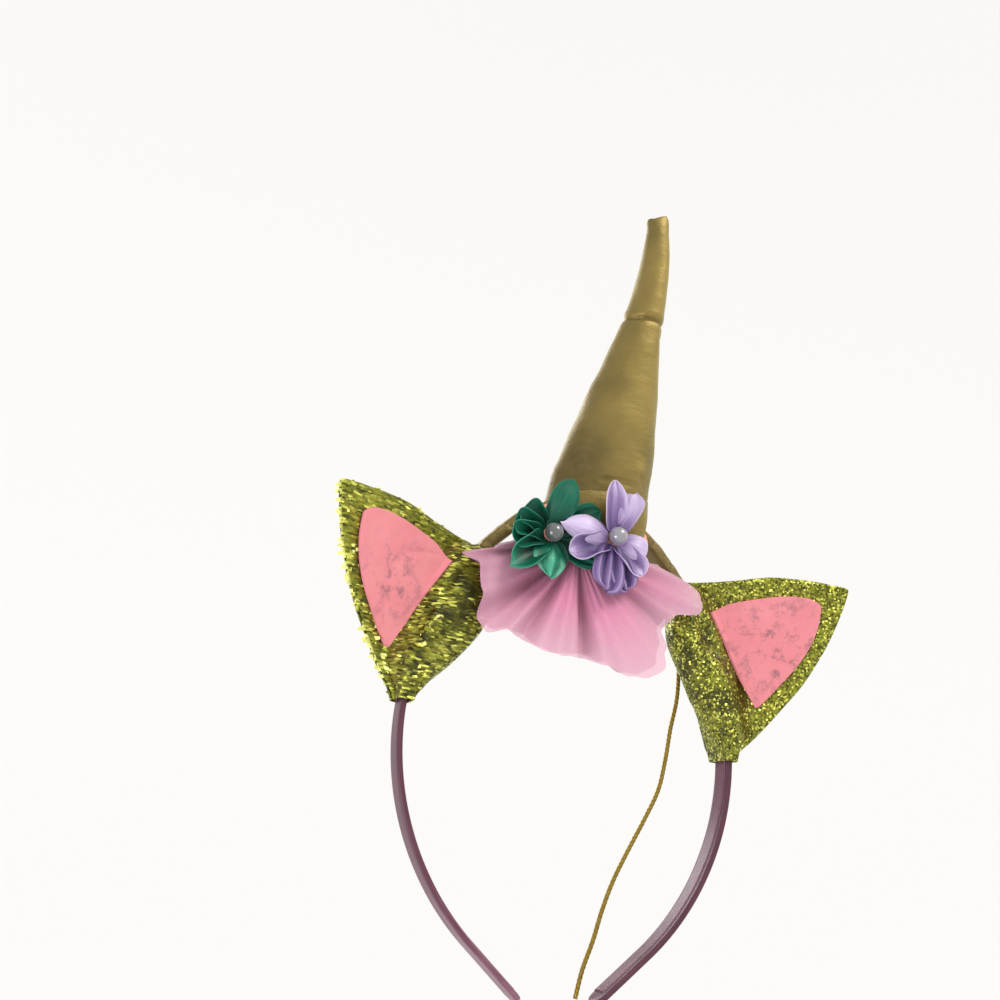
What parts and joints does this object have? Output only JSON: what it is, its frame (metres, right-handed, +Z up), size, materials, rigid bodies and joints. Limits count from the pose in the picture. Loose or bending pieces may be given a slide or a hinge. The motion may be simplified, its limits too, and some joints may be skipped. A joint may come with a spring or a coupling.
{
  "type": "unicorn horn headband",
  "caption": "Costume headband with a stuffed gold horn, glitter ears with felt insides, a gathered tulle ruffle, satin ribbon flowers with pearls and a loose gold cord.",
  "frame": {"origin": "underside of the gold wrap at the crown, where the band sits on a head", "axes": "+Z up as worn, -Y toward the face, +X toward the ear that hangs lower in the picture"},
  "size_m": [0.18, 0.0489, 0.2569],
  "materials": {
    "band_satin": "mauve satin ribbon wound round the strip",
    "gold_lame": "soft olive gold lame with fine wrinkles",
    "gold_glitter": "yellow-gold glitter flakes on fabric",
    "pink_felt": "matte felt with grey smudges",
    "backing_felt": "matte salmon felt",
    "pink_tulle": "sheer tulle, see-through at the hem",
    "teal_satin": "glossy satin ribbon",
    "lilac_satin": "glossy satin ribbon",
    "pearl": "pearlescent bead",
    "gold_cord": "twisted metallic thread"
  },
  "bodies": {
    "root": {"band": "band_satin", "crown_wrap": "gold_lame", "horn": "gold_lame", "ear_left": "gold_glitter", "ear_right": "gold_glitter", "ear_felt_left": "pink_felt", "ear_felt_right": "pink_felt", "flower_backing": "backing_felt", "tulle_ruffle": "pink_tulle", "teal_petal_top": "teal_satin", "teal_petal_upper_left": "teal_satin", "teal_petal_left": "teal_satin", "teal_petal_lower_left": "teal_satin", "teal_petal_bottom": "teal_satin", "teal_petal_lower_right": "teal_satin", "teal_petal_upper_right": "teal_satin", "teal_pearl": "pearl", "lilac_petal_top": "lilac_satin", "lilac_petal_upper_left": "lilac_satin", "lilac_petal_left": "lilac_satin", "lilac_petal_bottom_left": "lilac_satin", "lilac_petal_bottom_right": "lilac_satin", "lilac_petal_right": "lilac_satin", "lilac_pearl": "pearl", "gold_cord": "gold_cord"}
  },
  "joints": []
}
